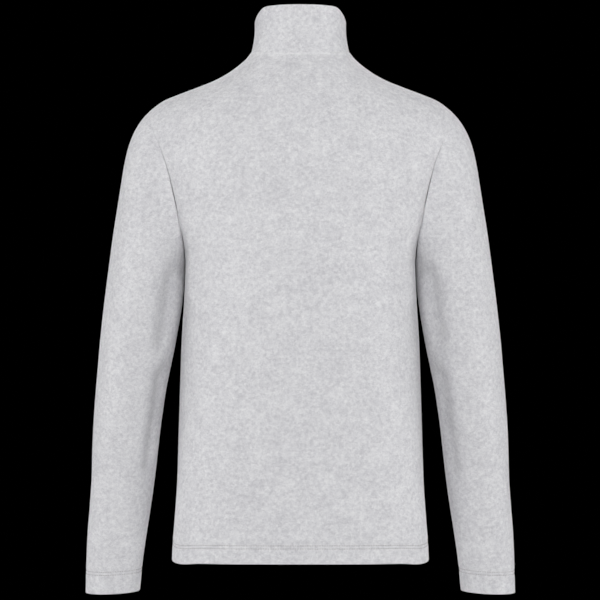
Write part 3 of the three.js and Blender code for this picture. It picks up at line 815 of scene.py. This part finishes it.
def beside(row, x):
    """Point and outward direction of the cloth at x from the middle, and its thickness."""
    points, ways, wall = row
    k = 0
    while k < len(points) - 2 and points[k + 1].x < x * MM:
        k += 1
    a, b = points[k], points[k + 1]
    t = clamp((x * MM - a.x) / (b.x - a.x))
    p, way = a.lerp(b, t), ways[k].lerp(ways[k + 1], t)
    if x <= OPENING:
        way.x = 0
    return Vector((x * MM, p.y, p.z)), way.normalized(), wall


AT_RIM = 2  # rows of the collar in the fold of its rim
edges = {side: zip_edge(side, way) for side, way in SIDES}
for side, way in SIDES:
    mirror = Vector((way, 1, 1))
    spots = [beside(row, OPENING + ZIP_STITCH) for row in edges[side][:-AT_RIM]]
    line = ([p * mirror for p, _, _ in spots], [n * mirror for _, n, _ in spots])
    stitching(f"zip_stitches_{side}", [line])

# The zip: two woven polyester tapes lie behind the front edges and the ends of the collar.
# Each carries moulded teeth along its edge, which close the gap between the fronts.
TAPE, TAPE_BACK = 0.8, 0.3  # thickness, and how far behind the cloth it lies
TAPE_X = (2.6, 4.5, 7, 9.2, 11.6, 14)  # its columns, past the inner edge
PARTED = (1.1, 1.7)  # the inner edge, where the teeth are locked and above the slider
LOCKED_TO, PARTING = 1.2, 3.4  # it parts from this far below the slider, over this length
TAPE_ENDS = 2  # rows of cloth past each end of the tapes
zip_line = [beside(row, 0) for row in edges["left"]]
zip_far = lengths([p for p, _, _ in zip_line])


def up_zip(far):
    """Point, outward direction and thickness of the cloth at a distance up the zip."""
    k = next((i for i, f in enumerate(zip_far[1:]) if f >= far), len(zip_far) - 2)
    t = (far - zip_far[k]) / (zip_far[k + 1] - zip_far[k])
    a, b = zip_line[k], zip_line[k + 1]
    return a[0].lerp(b[0], t), a[1].lerp(b[1], t).normalized(), mix(a[2], b[2], t)


tape_weave, nodes, links, shader = new_material("tape_weave", 0.75)
shader.inputs["Sheen Weight"].default_value = 0.15
place = nodes.new("ShaderNodeTexCoord")
twill = nodes.new("ShaderNodeTexWave")
twill.bands_direction = "DIAGONAL"
twill.inputs["Scale"].default_value = 420
twill.inputs["Distortion"].default_value = 0.6
twill_tones = add_ramp(nodes, (0.34, 0.34, 0.36), (0.47, 0.47, 0.49))
links.new(place.outputs["Object"], twill.inputs["Vector"])
links.new(twill.outputs["Fac"], twill_tones.inputs["Fac"])
links.new(twill_tones.outputs["Color"], shader.inputs["Base Color"])
add_bump(nodes, links, twill.outputs["Fac"], shader, 0.5, 0.2)

slider_low, slider_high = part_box("zip_slider")
SLIDER_Z = (slider_low.z + slider_high.z) / 2
SLOPE = 1.02  # length along the zip for each unit of height at the slider
slider_far = min(zip_far, key=lambda f: abs(up_zip(f)[0].z - SLIDER_Z))
slider_far += (SLIDER_Z - up_zip(slider_far)[0].z) * SLOPE
for side, way in SIDES:
    mesh = bmesh.new()
    rows = edges[side][TAPE_ENDS:-TAPE_ENDS]
    bmesh.ops.create_grid(mesh, x_segments=len(TAPE_X), y_segments=len(rows) - 1, size=0.5)
    for v in mesh.verts:
        r = round((v.co.y + 0.5) * (len(rows) - 1))
        c = round((v.co.x + 0.5) * len(TAPE_X))
        past = (zip_far[r + TAPE_ENDS] - slider_far) / MM
        inner = mix(*PARTED, clamp((past + LOCKED_TO) / PARTING))
        p, up, wall = beside(rows[r], ((inner,) + TAPE_X)[c])
        v.co = p - up * (wall + TAPE_BACK) * MM
        v.co.x *= way
    mesh.normal_update()
    if sum(f.normal.y for f in mesh.faces) > 0:
        bmesh.ops.reverse_faces(mesh, faces=mesh.faces)
    tape = add_piece(f"tape_{side}", mesh, tape_weave)
    wall = tape.modifiers.new("wall", "SOLIDIFY")
    wall.thickness = TAPE * MM
    wall.offset = -1
    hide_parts(f"zip_tape_{side}")
    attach(tape, "jacket")

# The teeth: moulded acetal blocks gripping the edge of each tape, wide at the root, waisted,
# with a rounded head that locks between two heads of the other side.
acetal, nodes, links, shader = new_material("acetal", 0.38)
place, cloudy = nodes.new("ShaderNodeTexCoord"), add_noise(nodes, 260)
cloudy_tones = add_ramp(nodes, (0.40, 0.40, 0.42), (0.50, 0.50, 0.52))
links.new(place.outputs["Object"], cloudy.inputs["Vector"])
links.new(cloudy.outputs["Fac"], cloudy_tones.inputs["Fac"])
links.new(cloudy_tones.outputs["Color"], shader.inputs["Base Color"])

PITCH = 2.8
FIRST_TOOTH, LAST_TOOTH = 4.2, 1.2  # up from the lower end, and past the slider's middle
TOOTH_FRONT, TOOTH_BACK = 1.8, 1.3  # in front of and behind the inner face of the cloth
# from the root to the head: distance from the zip's middle, less than 0 past it, half height
TOOTH = [(3.0, 0.95), (1.7, 0.9), (0.9, 0.5), (0.1, 0.5), (-0.45, 0.66), (-0.95, 0.36)]
for side, way in SIDES:
    mesh = bmesh.new()
    far = FIRST_TOOTH * MM + (0 if way > 0 else PITCH / 2 * MM)
    while far < slider_far + LAST_TOOTH * MM:
        p, out, wall = up_zip(far)
        up = Vector((0, out.z, -out.y))
        made = bmesh.ops.create_grid(mesh, x_segments=len(TOOTH) - 1, y_segments=1, size=0.5)
        for v in made["verts"]:
            x, half = TOOTH[round((v.co.x + 0.5) * (len(TOOTH) - 1))]
            high = half * math.copysign(1, v.co.y)
            v.co = Vector((x * way, 0, 0)) * MM + p + (up * high + out * (TOOTH_FRONT - wall)) * MM
        faces = list(dict.fromkeys(f for v in made["verts"] for f in v.link_faces))
        deep = bmesh.ops.extrude_face_region(mesh, geom=faces)
        back_verts = [g for g in deep["geom"] if isinstance(g, bmesh.types.BMVert)]
        bmesh.ops.translate(mesh, vec=-out * (TOOTH_FRONT + TOOTH_BACK) * MM, verts=back_verts)
        far += PITCH * MM
    bmesh.ops.recalc_face_normals(mesh, faces=mesh.faces)
    teeth = add_piece(f"teeth_{side}", mesh, acetal, smooth=False)
    soften(teeth, 0.16, 1, 50)
    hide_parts(f"zip_teeth_{side}")
    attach(teeth, "jacket")

# The slider, its pull tab, the two stops and the box: die-cast zinc, tumbled until its edges
# are round, then stoved with a satin grey enamel. The stops and the box are pressed onto
# the tapes.
enamel, nodes, links, shader = new_material("enamelled_zinc", 0.38)
place, tumbled = nodes.new("ShaderNodeTexCoord"), add_noise(nodes, 900, 4)
dull = nodes.new("ShaderNodeMapRange")
dull.inputs["To Min"].default_value = 0.3
dull.inputs["To Max"].default_value = 0.46
coating = add_ramp(nodes, (0.315, 0.32, 0.335), (0.365, 0.37, 0.385))
links.new(place.outputs["Object"], tumbled.inputs["Vector"])
links.new(tumbled.outputs["Fac"], dull.inputs["Value"])
links.new(dull.outputs["Result"], shader.inputs["Roughness"])
links.new(tumbled.outputs["Fac"], coating.inputs["Fac"])
links.new(coating.outputs["Color"], shader.inputs["Base Color"])
add_bump(nodes, links, tumbled.outputs["Fac"], shader, 0.12, 0.1)

# node, name of the finished piece, body, rounding of its edges
CASTINGS = [
    ("zip_slider", "slider_cast", "jacket", 0.3),
    ("zip_pull", "pull_cast", "pull_tab", 0.3),
    ("zip_stop_left", "stop_left_pressed", "jacket", 0.3),
    ("zip_stop_right", "stop_right_pressed", "jacket", 0.3),
    ("zip_box", "box_pressed", "jacket", 0.4),
]
WELD_DISTANCE, FLUSH = 0.01 * MM, math.radians(1)  # closer and flatter than this is one
for node, name, body, rounding in CASTINGS:
    mesh = bmesh.new()
    mesh.from_mesh(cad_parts[node].data)
    bmesh.ops.remove_doubles(mesh, verts=mesh.verts, dist=WELD_DISTANCE)
    bmesh.ops.dissolve_limit(mesh, angle_limit=FLUSH, verts=mesh.verts, edges=mesh.edges)
    casting = add_piece(name, mesh, enamel, smooth=False)
    soften(casting, rounding, 2, 35).harden_normals = True
    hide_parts(node)
    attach(casting, body)

# The studio: soft lights all round, a plain pale floor well below the hem, and the
# camera behind the jacket, level with the middle of the back.
FLOOR_Z, FLOOR_HALF = -1.45, 3
pale, _, _, shader = new_material("pale_floor", 0.8)
shader.inputs["Base Color"].default_value = (0.8, 0.8, 0.8, 1)
flat = bmesh.new()
bmesh.ops.create_grid(flat, x_segments=1, y_segments=1, size=FLOOR_HALF)
bmesh.ops.translate(flat, vec=(0, 0, FLOOR_Z), verts=flat.verts)
ground = add_piece("floor", flat, pale, smooth=False)

world = bpy.data.worlds.new("studio")
world.use_nodes = True
world.node_tree.nodes["Background"].inputs["Color"].default_value = (0, 0, 0, 1)
bpy.context.scene.world = world

# name, x, y, z and size in metres, watts
LIGHTS = [
    ("behind_left", 0.42, 3.3, 0.9, 2.2, 49.5),
    ("behind_right", -0.42, 3.3, 0.9, 2.2, 49.5),
    ("front_left", 0.42, -3.3, 0.9, 2.2, 49.5),
    ("front_right", -0.42, -3.3, 0.9, 2.2, 49.5),
    ("side_left", 3.4, 0, 0.1, 2.2, 49),
    ("side_right", -3.4, 0, 0.1, 2.2, 49),
    ("above", 0, 0, 2.2, 2.6, 15),
]
AIM = Vector((0, 0, -0.38))  # the middle of the jacket
for name, x, y, z, size, watts in LIGHTS:
    light = bpy.data.lights.new(name, "AREA")
    light.shape = "SQUARE"
    light.size = size
    light.energy = watts
    lamp = bpy.data.objects.new(name, light)
    lamp.location = (x, y, z)
    lamp.rotation_euler = (AIM - Vector((x, y, z))).to_track_quat("-Z", "Y").to_euler()
    lamp.visible_camera = False
    bpy.context.collection.objects.link(lamp)

lens = bpy.data.cameras.new("camera")
lens.sensor_width = 36
lens.lens = 132.8
camera = bpy.data.objects.new("camera", lens)
camera.location = (0.0005, 3.0, -0.336)
camera.rotation_euler = (math.radians(90), 0, math.radians(180))
bpy.context.collection.objects.link(camera)
bpy.context.scene.camera = camera
bpy.context.scene.view_settings.view_transform = "Standard"
